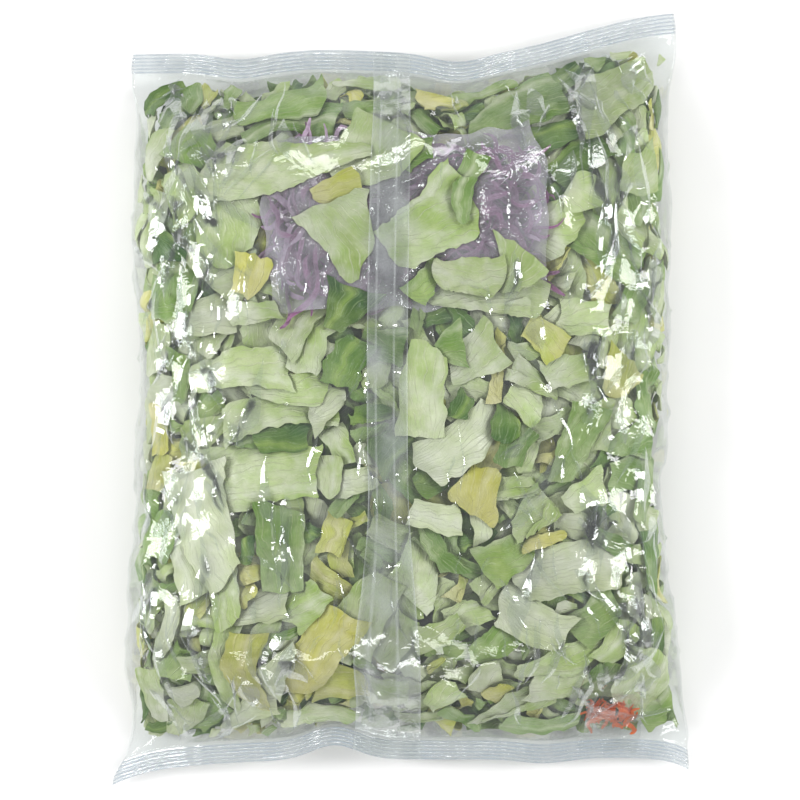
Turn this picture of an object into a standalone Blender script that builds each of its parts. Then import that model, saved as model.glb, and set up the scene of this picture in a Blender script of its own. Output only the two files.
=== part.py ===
"""Clear pillow bag of chopped salad leaves, lying on a table with its long lap seam up.

A tube of film is closed by a flat crimped seal at each end and by one lap seam along
its length.  Filled, it is a soft pillow: about 33 cm wide, 43 cm long between the end
seals and 8 cm thick, rounded along both sides, flat where it rests, with a thin flat
"ear" of film at each corner.  The sealed bag is one solid.

Frame: metres, +Z up, +X across the bag, +Y along it towards the top seal.  The origin
is the centre of the box's base, on the table.
"""
import bpy
import bmesh
import math
from mathutils import Vector, noise

# ---------------------------------------------------------------- driving sizes (m)
BODY_HALF_L = 0.1615      # half width of the filled body, left of the middle line
BODY_HALF_R = 0.1635      # half width, right of it
SPAN_BOTTOM = -0.2185     # nominal line of the bottom seal's outer edge
SPAN_TOP = 0.2115         # nominal line of the top seal's outer edge
THICK = 0.079             # thickness of the filled body as it lies
SIDE_HEIGHT = 0.035       # height of the body's widest line above the table
SEAL_WIDTH = 0.013        # flat crimped seal at each end
SEAL_THICK = 0.0010       # two films pressed together, with room for their crimp
SEAL_REST = 0.020         # height at which the end seals hang
END_RISE = 0.082          # length over which each end swells to full thickness
SEAM_X0, SEAM_X1 = -0.0185, 0.0055    # edges of the lap seam along the top
SEAM_STEP = 0.0007        # how far the doubled film of that seam stands up
LUMP = 0.0022             # swell of the leaves under the film
COLUMNS = 34              # faces across, without those at the seam's edges
ROWS = 58                 # faces along


def ease(a, b, x):
    t = min(1.0, max(0.0, (x - a) / (b - a)))
    return t * t * (3.0 - 2.0 * t)


def bump(x, centre, width):
    return math.exp(-((x - centre) / width) ** 2)


def half_left(t):
    """Half width to the left side at t, from 0 at the bottom seal to 1 at the top seal."""
    return (BODY_HALF_L + 0.0155 * bump(t, 0.0, 0.036) + 0.0055 * bump(t, 0.16, 0.07)
            + 0.0030 * bump(t, 0.28, 0.05) - 0.0025 * bump(t, 0.52, 0.06)
            + 0.0025 * bump(t, 0.74, 0.06) + 0.0030 * bump(t, 0.98, 0.03))


def half_right(t):
    return (BODY_HALF_R + 0.0130 * bump(t, 0.0, 0.10) + 0.0060 * bump(t, 0.16, 0.07)
            - 0.0050 * bump(t, 0.39, 0.06) + 0.0015 * bump(t, 0.68, 0.08)
            + 0.0050 * bump(t, 0.97, 0.06))


def top_edge(x):
    """Outline of the top seal: it dips twice and rises to the right-hand corner."""
    return (SPAN_TOP + 0.0255 * ease(0.045, 0.175, x) - 0.0065 * bump(x, 0.034, 0.022)
            - 0.0045 * bump(x, -0.098, 0.020) + 0.0020 * bump(x, -0.045, 0.030))


def bottom_edge(x):
    """Outline of the bottom seal: one fold left of the middle, both corners drawn out."""
    return (SPAN_BOTTOM - 0.0180 * math.exp(-(x + 0.177) / 0.035)
            + 0.0095 * bump(x, -0.040, 0.020) - 0.0030 * bump(x, 0.088, 0.020)
            - 0.0075 * math.exp(-(0.176 - x) / 0.012))


def seal_height_bottom(x):
    return (SEAL_REST + 0.0100 * bump(x, -0.040, 0.032) + 0.0030 * math.sin(x * 42.0)
            - 0.0100 * ease(0.10, 0.178, abs(x)))


def seal_height_top(x):
    return (SEAL_REST + 0.0080 * bump(x, 0.034, 0.030) + 0.0060 * bump(x, -0.098, 0.028)
            + 0.0025 * math.sin(x * 36.0 + 1.1) - 0.0090 * ease(0.10, 0.170, abs(x)))


def swell(t):
    """Thickness along the bag: 0 in the seals, 1 in the body."""
    length = SPAN_TOP - SPAN_BOTTOM
    from_end = min(t, 1.0 - t) * length - SEAL_WIDTH
    s = min(1.0, max(0.0, from_end / END_RISE))
    return (1.0 - (1.0 - s) ** 2.2) ** 0.70


def section(u, t):
    """Thickness across the bag: a pointed lens at the ends, a rounded box in the body."""
    w = ease(0.0, 0.15, min(t, 1.0 - t))
    p = 2.0 + 1.4 * w
    q = 1.15 - 0.70 * w
    return max(0.0, 1.0 - abs(u) ** p) ** q


def lump(x, y, side):
    a = noise.noise(Vector((x * 21.0, y * 21.0, 3.7 + side)))
    b = noise.noise(Vector((x * 46.0, y * 46.0, 9.1 + side)))
    return LUMP * (1.15 * a + 0.75 * b)


def skin(u, t, side):
    """Point of the bag at u across (-1 to 1), t along (0 to 1), side +1 top or -1 underside."""
    half = half_right(t) if u > 0 else half_left(t)
    x = u * half
    y = SPAN_BOTTOM + (SPAN_TOP - SPAN_BOTTOM) * t
    y += (bottom_edge(x) - SPAN_BOTTOM) * (1.0 - ease(0.0, 0.30, t))
    y += (top_edge(x) - SPAN_TOP) * ease(0.70, 1.0, t)
    lift = swell(t)
    middle = SIDE_HEIGHT
    middle += (seal_height_bottom(x) - SIDE_HEIGHT) * (1.0 - ease(0.02, 0.22, t))
    middle += (seal_height_top(x) - SIDE_HEIGHT) * ease(0.78, 0.98, t)
    round_edge = 0.5 * SEAL_THICK + 0.0016 * lift
    f = section(u, t) * lift
    if side > 0:
        z = middle + round_edge + (THICK - SIDE_HEIGHT) * f
    else:
        z = middle - round_edge - (SIDE_HEIGHT + 0.014) * f
    z += side * lump(x, y, side) * min(1.0, 1.6 * f)
    if side > 0 and SEAM_X0 <= x <= SEAM_X1:
        z += SEAM_STEP * ease(0.0, 0.25, lift)
    return Vector((x, y, max(0.0, z)))


def columns():
    """Places of the mesh's lines across: closer at the rounded sides, and in pairs at the seam."""
    places = [math.sin(0.5 * math.pi * (2.0 * i / COLUMNS - 1.0)) for i in range(COLUMNS + 1)]
    seam = []
    for x in (SEAM_X0, SEAM_X1):
        seam += [(x - 0.00035) / BODY_HALF_L, (x + 0.00035) / BODY_HALF_L]
    kept = [p for p in places if min(abs(p - s) for s in seam) > 0.012]
    return sorted(kept + seam)


def rows():
    """Places of the mesh's lines along: closer where the ends swell."""
    out = []
    for j in range(ROWS + 1):
        s = 2.0 * j / ROWS - 1.0
        out.append(0.5 + 0.5 * (0.62 * s + 0.38 * math.sin(0.5 * math.pi * s)))
    return out


def clear_scene():
    for obj in list(bpy.data.objects):
        bpy.data.objects.remove(obj, do_unlink=True)


def film_material():
    """Clear film over pale green leaves, seen as one colour."""
    mat = bpy.data.materials.new("filled_film")
    mat.use_nodes = True
    shader = mat.node_tree.nodes["Principled BSDF"]
    shader.inputs["Base Color"].default_value = (0.36, 0.42, 0.25, 1.0)
    shader.inputs["Roughness"].default_value = 0.25
    shader.inputs["Metallic"].default_value = 0.0
    return mat


def make_bag(collection):
    us, ts = columns(), rows()
    bm = bmesh.new()
    bmesh.ops.create_cube(bm, size=2.0)
    for axis, count in ((0, len(us)), (1, len(ts))):
        along = [e for e in bm.edges
                 if abs(e.verts[0].co[axis] - e.verts[1].co[axis]) > 1.0]
        bmesh.ops.subdivide_edges(bm, edges=along, cuts=count - 2, use_grid_fill=True)
    for v in bm.verts:
        i = round((v.co.x + 1.0) * 0.5 * (len(us) - 1))
        j = round((v.co.y + 1.0) * 0.5 * (len(ts) - 1))
        v.co = skin(us[i], ts[j], 1 if v.co.z > 0 else -1)
    # the origin goes to the centre of the box's base
    low = [min(v.co[k] for v in bm.verts) for k in range(3)]
    high = [max(v.co[k] for v in bm.verts) for k in range(3)]
    shift = Vector((-(low[0] + high[0]) / 2, -(low[1] + high[1]) / 2, -low[2]))
    bmesh.ops.translate(bm, verts=bm.verts, vec=shift)
    bmesh.ops.triangulate(bm, faces=bm.faces)
    bmesh.ops.recalc_face_normals(bm, faces=bm.faces)
    mesh = bpy.data.meshes.new("salad_bag")
    bm.to_mesh(mesh)
    bm.free()
    mesh.shade_smooth()
    obj = bpy.data.objects.new("salad_bag", mesh)
    obj.data.materials.append(film_material())
    collection.objects.link(obj)
    return obj


def main():
    clear_scene()
    collection = bpy.data.collections.new("bag_of_salad_leaves")
    bpy.context.scene.collection.children.link(collection)
    make_bag(collection)


main()
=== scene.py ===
"""Looks of the bag of salad leaves: clear film, its seam, the cut leaves and the two small pouches inside.

Everything is laid out on the bag's skin.  A place on the skin is (A, B): A runs round the
bag from its left side over the top, round the right side and back underneath, B runs along it
from the bottom seal to the top seal, and a third number is the depth inside the film.
Leaves are laid from the film inwards; each one is draped under those already there.
"""
import bpy
import math
import numpy as np
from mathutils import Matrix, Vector


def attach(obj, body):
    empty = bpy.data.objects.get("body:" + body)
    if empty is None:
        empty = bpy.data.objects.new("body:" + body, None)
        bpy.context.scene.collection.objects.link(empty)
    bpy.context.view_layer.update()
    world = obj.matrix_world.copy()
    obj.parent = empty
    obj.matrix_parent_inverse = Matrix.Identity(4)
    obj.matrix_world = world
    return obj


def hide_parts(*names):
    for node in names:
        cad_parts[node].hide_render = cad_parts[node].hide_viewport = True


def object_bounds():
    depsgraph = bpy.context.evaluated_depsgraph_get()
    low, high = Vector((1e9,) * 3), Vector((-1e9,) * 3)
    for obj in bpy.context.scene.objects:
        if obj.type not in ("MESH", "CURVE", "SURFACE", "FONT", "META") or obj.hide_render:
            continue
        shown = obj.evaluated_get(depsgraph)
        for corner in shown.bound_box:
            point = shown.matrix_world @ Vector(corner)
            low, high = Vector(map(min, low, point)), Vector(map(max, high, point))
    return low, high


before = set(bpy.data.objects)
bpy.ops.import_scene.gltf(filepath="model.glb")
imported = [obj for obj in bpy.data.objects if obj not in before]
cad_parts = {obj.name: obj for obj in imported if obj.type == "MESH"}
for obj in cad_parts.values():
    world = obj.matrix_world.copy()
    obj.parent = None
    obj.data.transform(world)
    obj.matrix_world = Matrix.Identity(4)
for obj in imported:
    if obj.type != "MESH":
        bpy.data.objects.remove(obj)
CAD_LO, CAD_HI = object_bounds()
MM = 0.001
rng = np.random.default_rng(11)

# ------------------------------------------------------------------ skin of the bag
BODY_HALF_L, BODY_HALF_R = 0.1615, 0.1635
SPAN_BOTTOM, SPAN_TOP = -0.2185, 0.2115
THICK, SIDE_HEIGHT, SEAL_WIDTH, SEAL_REST, END_RISE = 0.079, 0.035, 0.013, 0.020, 0.082
B_IN = SEAL_WIDTH + 0.0016   # contents stay this far from the cut ends
FILM_HALF = 0.00022      # half of the two films pressed together in a seal


def ease(a, b, x):
    t = np.clip((x - a) / (b - a), 0.0, 1.0)
    return t * t * (3.0 - 2.0 * t)


def bump(x, centre, width):
    return np.exp(-((x - centre) / width) ** 2)


def half_left(t):
    return (BODY_HALF_L + 0.0155 * bump(t, 0.0, 0.036) + 0.0055 * bump(t, 0.16, 0.07)
            + 0.0030 * bump(t, 0.28, 0.05) - 0.0025 * bump(t, 0.52, 0.06)
            + 0.0025 * bump(t, 0.74, 0.06) + 0.0030 * bump(t, 0.98, 0.03))


def half_right(t):
    return (BODY_HALF_R + 0.0130 * bump(t, 0.0, 0.10) + 0.0060 * bump(t, 0.16, 0.07)
            - 0.0050 * bump(t, 0.39, 0.06) + 0.0015 * bump(t, 0.68, 0.08)
            + 0.0050 * bump(t, 0.97, 0.06))


def top_edge(x):
    return (SPAN_TOP + 0.0255 * ease(0.045, 0.175, x) - 0.0065 * bump(x, 0.034, 0.022)
            - 0.0045 * bump(x, -0.098, 0.020) + 0.0020 * bump(x, -0.045, 0.030))


def bottom_edge(x):
    return (SPAN_BOTTOM - 0.0180 * np.exp(-(x + 0.177) / 0.035)
            + 0.0095 * bump(x, -0.040, 0.020) - 0.0030 * bump(x, 0.088, 0.020)
            - 0.0075 * np.exp(-(0.176 - x) / 0.012))


def seal_height_bottom(x):
    return (SEAL_REST + 0.0100 * bump(x, -0.040, 0.032) + 0.0030 * np.sin(x * 42.0)
            - 0.0100 * ease(0.10, 0.178, np.abs(x)))


def seal_height_top(x):
    return (SEAL_REST + 0.0080 * bump(x, 0.034, 0.030) + 0.0060 * bump(x, -0.098, 0.028)
            + 0.0025 * np.sin(x * 36.0 + 1.1) - 0.0090 * ease(0.10, 0.170, np.abs(x)))


def swell(t):
    from_end = np.minimum(t, 1.0 - t) * (SPAN_TOP - SPAN_BOTTOM) - SEAL_WIDTH
    s = np.clip(from_end / END_RISE, 0.0, 1.0)
    return (1.0 - (1.0 - s) ** 2.2) ** 0.70


def section(u, t):
    w = ease(0.0, 0.15, np.minimum(t, 1.0 - t))
    p = 2.0 + 1.4 * w
    q = 1.15 - 0.70 * w
    return np.maximum(0.0, 1.0 - np.abs(u) ** p) ** q


def skin_point(u, t, side):
    half = np.where(u > 0, half_right(t), half_left(t))
    x = u * half
    y = SPAN_BOTTOM + (SPAN_TOP - SPAN_BOTTOM) * t
    y = y + (bottom_edge(x) - SPAN_BOTTOM) * (1.0 - ease(0.0, 0.30, t))
    y = y + (top_edge(x) - SPAN_TOP) * ease(0.70, 1.0, t)
    lift = swell(t)
    middle = SIDE_HEIGHT + (seal_height_bottom(x) - SIDE_HEIGHT) * (1.0 - ease(0.02, 0.22, t))
    middle = middle + (seal_height_top(x) - SIDE_HEIGHT) * ease(0.78, 0.98, t)
    edge = FILM_HALF + 0.0016 * lift
    f = section(u, t) * lift
    if side > 0:
        z = middle + edge + (THICK - SIDE_HEIGHT) * f
    else:
        z = middle - edge - (SIDE_HEIGHT + 0.014) * f
    return np.stack([x, y + 0 * x, np.maximum(0.0004, z)], -1)


def build_tables():
    """The skin, its outward normals and its places, at even steps round and along."""
    tt = np.linspace(0, 1, 900)
    arcs = []
    for side in (1, -1):
        line = skin_point(np.full_like(tt, 0.3), tt, side)
        step = np.hypot(np.diff(line[:, 1]), np.diff(line[:, 2]))
        arcs.append(np.concatenate([[0], np.cumsum(step)]))
    arc = 0.5 * (arcs[0] + arcs[1])
    length = arc[-1]
    rows = 241
    t_row = np.interp(np.linspace(0, length, rows), arc, tt)
    cols = 180
    uu = np.sin(0.5 * np.pi * np.linspace(-1, 1, 241))
    table = np.zeros((2 * cols, rows, 3))
    places = np.zeros((2 * cols, rows, 2))
    widths = []
    for j, t in enumerate(t_row):
        for half, side in enumerate((1, -1)):
            u = uu if side > 0 else uu[::-1]
            pts = skin_point(u, np.full_like(u, t), side)
            step = np.hypot(np.diff(pts[:, 0]), np.diff(pts[:, 2]))
            s = np.concatenate([[0], np.cumsum(step)])
            want = np.linspace(0, s[-1], cols + 1)[:-1]
            widths.append(s[-1])
            for k in range(3):
                table[half * cols:(half + 1) * cols, j, k] = np.interp(want, s, pts[:, k])
            places[half * cols:(half + 1) * cols, j, 0] = np.interp(want, s, u)
            places[half * cols:(half + 1) * cols, j, 1] = t
    return table, places, length, float(np.median(widths)), t_row


def blur(g, n, wrap=True):
    """n passes of a small blur; the first axis goes round the bag."""
    for _ in range(n):
        g = 0.25 * (np.roll(g, 1, 0) + np.roll(g, -1, 0)) + 0.5 * g
        p = np.concatenate([g[:, :1], g, g[:, -1:]], 1)
        g = 0.25 * (p[:, :-2] + p[:, 2:]) + 0.5 * g
    return g


SKIN, PLACE, LEN_B, HALF_A, T_ROW = build_tables()
lo = SKIN.reshape(-1, 3).min(0)
hi = SKIN.reshape(-1, 3).max(0)
SKIN[..., 0] += 0.5 * (CAD_LO.x + CAD_HI.x) - 0.5 * (lo[0] + hi[0])
SKIN[..., 1] += 0.5 * (CAD_LO.y + CAD_HI.y) - 0.5 * (lo[1] + hi[1])
COLS, ROWS = SKIN.shape[:2]


def build_normals():
    da = np.roll(SKIN, -2, 0) - np.roll(SKIN, 2, 0)
    db = np.gradient(SKIN, axis=1)
    n = np.cross(da, db)
    n /= np.linalg.norm(n, axis=-1, keepdims=True) + 1e-12
    n = blur(n, 6)
    return n / (np.linalg.norm(n, axis=-1, keepdims=True) + 1e-12)


NORMAL = build_normals()
GIRTH = 2.0 * HALF_A


def sample(table, a, b):
    """Value of a table at places (a, b), both in metres."""
    ni, nj = table.shape[0], table.shape[1]
    fi = np.mod(np.asarray(a) / GIRTH, 1.0) * ni
    fj = np.clip(np.asarray(b) / LEN_B, 0.0, 1.0) * (nj - 1)
    i0 = np.floor(fi).astype(int) % ni
    i1 = (i0 + 1) % ni
    j0 = np.minimum(np.floor(fj).astype(int), nj - 2)
    x, y = fi - np.floor(fi), fj - j0
    if table.ndim == 3:
        x, y = x[..., None], y[..., None]
    return ((table[i0, j0] * (1 - x) + table[i1, j0] * x) * (1 - y)
            + (table[i0, j0 + 1] * (1 - x) + table[i1, j0 + 1] * x) * y)


def place(a, b, depth):
    """Points in the row frame for places on the skin and depths inside it."""
    return sample(SKIN, a, b) - np.asarray(depth)[..., None] * sample(NORMAL, a, b)


# ------------------------------------------------------------------ maps of depth, 1 mm cells
NA, NB = int(round(GIRTH / MM)), int(round(LEN_B / MM)) + 1
CELL_A, CELL_B = GIRTH / NA, LEN_B / (NB - 1)
GA, GB = np.meshgrid(np.arange(NA) * CELL_A, np.arange(NB) * CELL_B, indexing="ij")


def waves(a, b, wavelength, seed, terms=7):
    """Soft noise between about -1 and 1, from a few random waves."""
    r = np.random.default_rng(seed)
    out = 0.0
    for _ in range(terms):
        ang = r.uniform(0, 2 * math.pi)
        k = 2 * math.pi / (wavelength * r.uniform(0.65, 1.6))
        out = out + np.sin(k * (math.cos(ang) * a + math.sin(ang) * b) + r.uniform(0, 2 * math.pi))
    return out / math.sqrt(terms) / 1.15


U_MAP = sample(PLACE[..., 0], GA, GB)
T_MAP = sample(PLACE[..., 1], GA, GB)
ROOM = np.minimum(0.024, 0.46 * THICK * section(np.minimum(np.abs(U_MAP), 0.93), T_MAP)
                  * swell(T_MAP))                       # how deep the contents may go there
GAP = 0.0010 + 0.0013 * (1 + waves(GA, GB, 0.055, 3)) + 0.0006 * (1 + waves(GA, GB, 0.022, 4))
DEEP = np.minimum(GAP, 0.35 * ROOM)                      # deepest thing so far
SHALLOW = np.full_like(DEEP, 0.03)                       # nearest thing to the film
COVER = np.zeros_like(DEEP)


def cell(grid, a, b):
    i = np.round(a / CELL_A).astype(int) % NA
    j = np.clip(np.round(b / CELL_B).astype(int), 0, NB - 1)
    return grid[i, j]


def ceiling(a, b, reach=0.0014):
    best = cell(DEEP, a, b)
    for da, db in ((1, 0), (-1, 0), (0, 1), (0, -1), (.7, .7), (-.7, .7), (.7, -.7), (-.7, -.7)):
        best = np.maximum(best, cell(DEEP, a + da * reach, b + db * reach))
    return best


def relax(d, least, passes):
    """Smooths a sheet that may only move inwards."""
    for _ in range(passes):
        p = np.pad(d, 1, mode="edge")
        avg = 0.25 * (p[:-2, 1:-1] + p[2:, 1:-1] + p[1:-1, :-2] + p[1:-1, 2:])
        d = np.maximum(least, 0.35 * d + 0.65 * avg)
    return d


def stamp(a, b, top, bottom):
    """Marks a sheet on the maps, with its places resampled closer than the cells."""
    n, m = a.shape
    fine_n, fine_m = max(n, int(n * 3.2)), max(m, int(m * 3.2))
    x = np.linspace(0, n - 1, fine_n)
    y = np.linspace(0, m - 1, fine_m)
    i0 = np.minimum(x.astype(int), n - 2)
    j0 = np.minimum(y.astype(int), m - 2)
    fx, fy = (x - i0)[:, None], (y - j0)[None, :]

    def fine(g):
        g00, g10 = g[np.ix_(i0, j0)], g[np.ix_(i0 + 1, j0)]
        g01, g11 = g[np.ix_(i0, j0 + 1)], g[np.ix_(i0 + 1, j0 + 1)]
        return (g00 * (1 - fx) + g10 * fx) * (1 - fy) + (g01 * (1 - fx) + g11 * fx) * fy
    i = np.round(fine(a) / CELL_A).astype(int) % NA
    j = np.clip(np.round(fine(b) / CELL_B).astype(int), 0, NB - 1)
    np.maximum.at(DEEP, (i, j), fine(bottom))
    np.minimum.at(SHALLOW, (i, j), fine(top))
    once = np.zeros_like(COVER, dtype=bool)
    once[i, j] = True
    COVER[once] += 1


# ------------------------------------------------------------------ collecting meshes
class Sheets:
    """Many thin closed sheets gathered into one mesh."""

    def __init__(self, name):
        self.name, self.co, self.quads, self.tint, self.lc, self.count = name, [], [], [], [], 0

    def add(self, a, b, top, bottom, tint, lc):
        n, m = a.shape
        upper, lower = place(a, b, top).reshape(-1, 3), place(a, b, bottom).reshape(-1, 3)
        k = np.arange(n * m).reshape(n, m)
        face = np.stack([k[:-1, :-1], k[1:, :-1], k[1:, 1:], k[:-1, 1:]], -1).reshape(-1, 4)
        under = face[:, ::-1] + n * m
        ring = np.concatenate([k[:, 0], k[-1, 1:], k[-2::-1, -1], k[0, -2:0:-1]])
        nxt = np.roll(ring, -1)
        rim = np.stack([nxt, ring, ring + n * m, nxt + n * m], -1)
        quads = np.concatenate([face, under, rim])
        self.co.append(np.concatenate([upper, lower]))
        self.quads.append(quads + self.count)
        self.tint.append(np.concatenate([tint.reshape(-1, 3)] * 2))
        self.lc.append(np.concatenate([lc.reshape(-1, 3)] * 2))
        self.count += 2 * n * m

    def triangles(self):
        return 2 * sum(len(q) for q in self.quads)

    def build(self, material, slot, sharp=62):
        co, quads = np.concatenate(self.co), np.concatenate(self.quads)
        obj = mesh_object(self.name, co, quads, material)
        add_color(obj.data, "tint", np.concatenate(self.tint))
        add_vector(obj.data, "lc", np.concatenate(self.lc))
        obj.data.set_sharp_from_angle(angle=math.radians(sharp))
        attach(obj, "root")
        return obj


def mesh_object(name, co, quads, material, smooth=True):
    mesh = bpy.data.meshes.new(name)
    mesh.vertices.add(len(co))
    mesh.vertices.foreach_set("co", np.ascontiguousarray(co, np.float32).ravel())
    mesh.loops.add(quads.size)
    mesh.loops.foreach_set("vertex_index", np.ascontiguousarray(quads, np.int32).ravel())
    mesh.polygons.add(len(quads))
    mesh.polygons.foreach_set("loop_start", np.arange(0, quads.size, quads.shape[1], dtype=np.int32))
    mesh.polygons.foreach_set("loop_total", np.full(len(quads), quads.shape[1], np.int32))
    mesh.update(calc_edges=True)
    mesh.validate()
    if smooth:
        mesh.shade_smooth()
    obj = bpy.data.objects.new(name, mesh)
    bpy.context.scene.collection.objects.link(obj)
    if material:
        mesh.materials.append(material)
    return obj


def add_color(mesh, name, rgb):
    att = mesh.attributes.new(name, "FLOAT_COLOR", "POINT")
    rgba = np.concatenate([np.clip(rgb, 0, 1), np.ones((len(rgb), 1))], 1)
    att.data.foreach_set("color", rgba.astype(np.float32).ravel())


def add_vector(mesh, name, xyz):
    att = mesh.attributes.new(name, "FLOAT_VECTOR", "POINT")
    att.data.foreach_set("vector", xyz.astype(np.float32).ravel())


def add_float(mesh, name, v):
    att = mesh.attributes.new(name, "FLOAT", "POINT")
    att.data.foreach_set("value", v.astype(np.float32).ravel())


# ------------------------------------------------------------------ colours, as linear light
def srgb(r, g, b):
    c = np.array([r, g, b]) / 255.0
    return np.where(c <= 0.04045, c / 12.92, ((c + 0.055) / 1.055) ** 2.4)


WHITE_RIB = srgb(216, 219, 202)
CREAM = srgb(214, 210, 166)
PALE = srgb(197, 206, 162)
LIGHT = srgb(166, 188, 102)
MID = srgb(114, 150, 60)
DARK = srgb(60, 102, 44)
DEEPGREEN = srgb(42, 82, 36)
YELLOW = srgb(208, 204, 100)
GOLD = srgb(198, 188, 66)
PURPLE = srgb(118, 58, 102)
LILAC = srgb(208, 184, 208)
ORANGE = srgb(238, 104, 26)

# kind: blade colour, edge colour, rib colour, rib strength, blade thickness, rib thickness
KINDS = {
    "rib":     dict(piece="leaves_rib", blade=(PALE, WHITE_RIB, 0.25), edge=PALE, rib=WHITE_RIB, th=0.0012, rib_th=0.0036, crinkle=0.25),
    "iceberg": dict(piece="leaves_iceberg", blade=(PALE, LIGHT, 0.35), edge=0.8 * LIGHT + 0.2 * MID, rib=WHITE_RIB, th=0.0005, rib_th=0.0016, crinkle=0.8),
    "green":   dict(piece="leaves_green", blade=(LIGHT, MID, 0.62), edge=0.6 * MID + 0.4 * DARK, rib=0.5 * (PALE + WHITE_RIB), th=0.0005, rib_th=0.0016, crinkle=1.0),
    "romaine": dict(piece="leaves_romaine", blade=(MID, DARK, 0.7), edge=DEEPGREEN, rib=LIGHT, th=0.0005, rib_th=0.0016, crinkle=1.2),
    "heart":   dict(piece="leaves_heart", blade=(YELLOW, LIGHT, 0.35), edge=0.5 * (GOLD + LIGHT), rib=CREAM, th=0.0006, rib_th=0.0018, crinkle=1.2),
}
PIECES = {}


def pieces_for(kind):
    name = KINDS[kind]["piece"]
    if name not in PIECES:
        PIECES[name] = Sheets(name)
    return PIECES[name]


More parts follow.
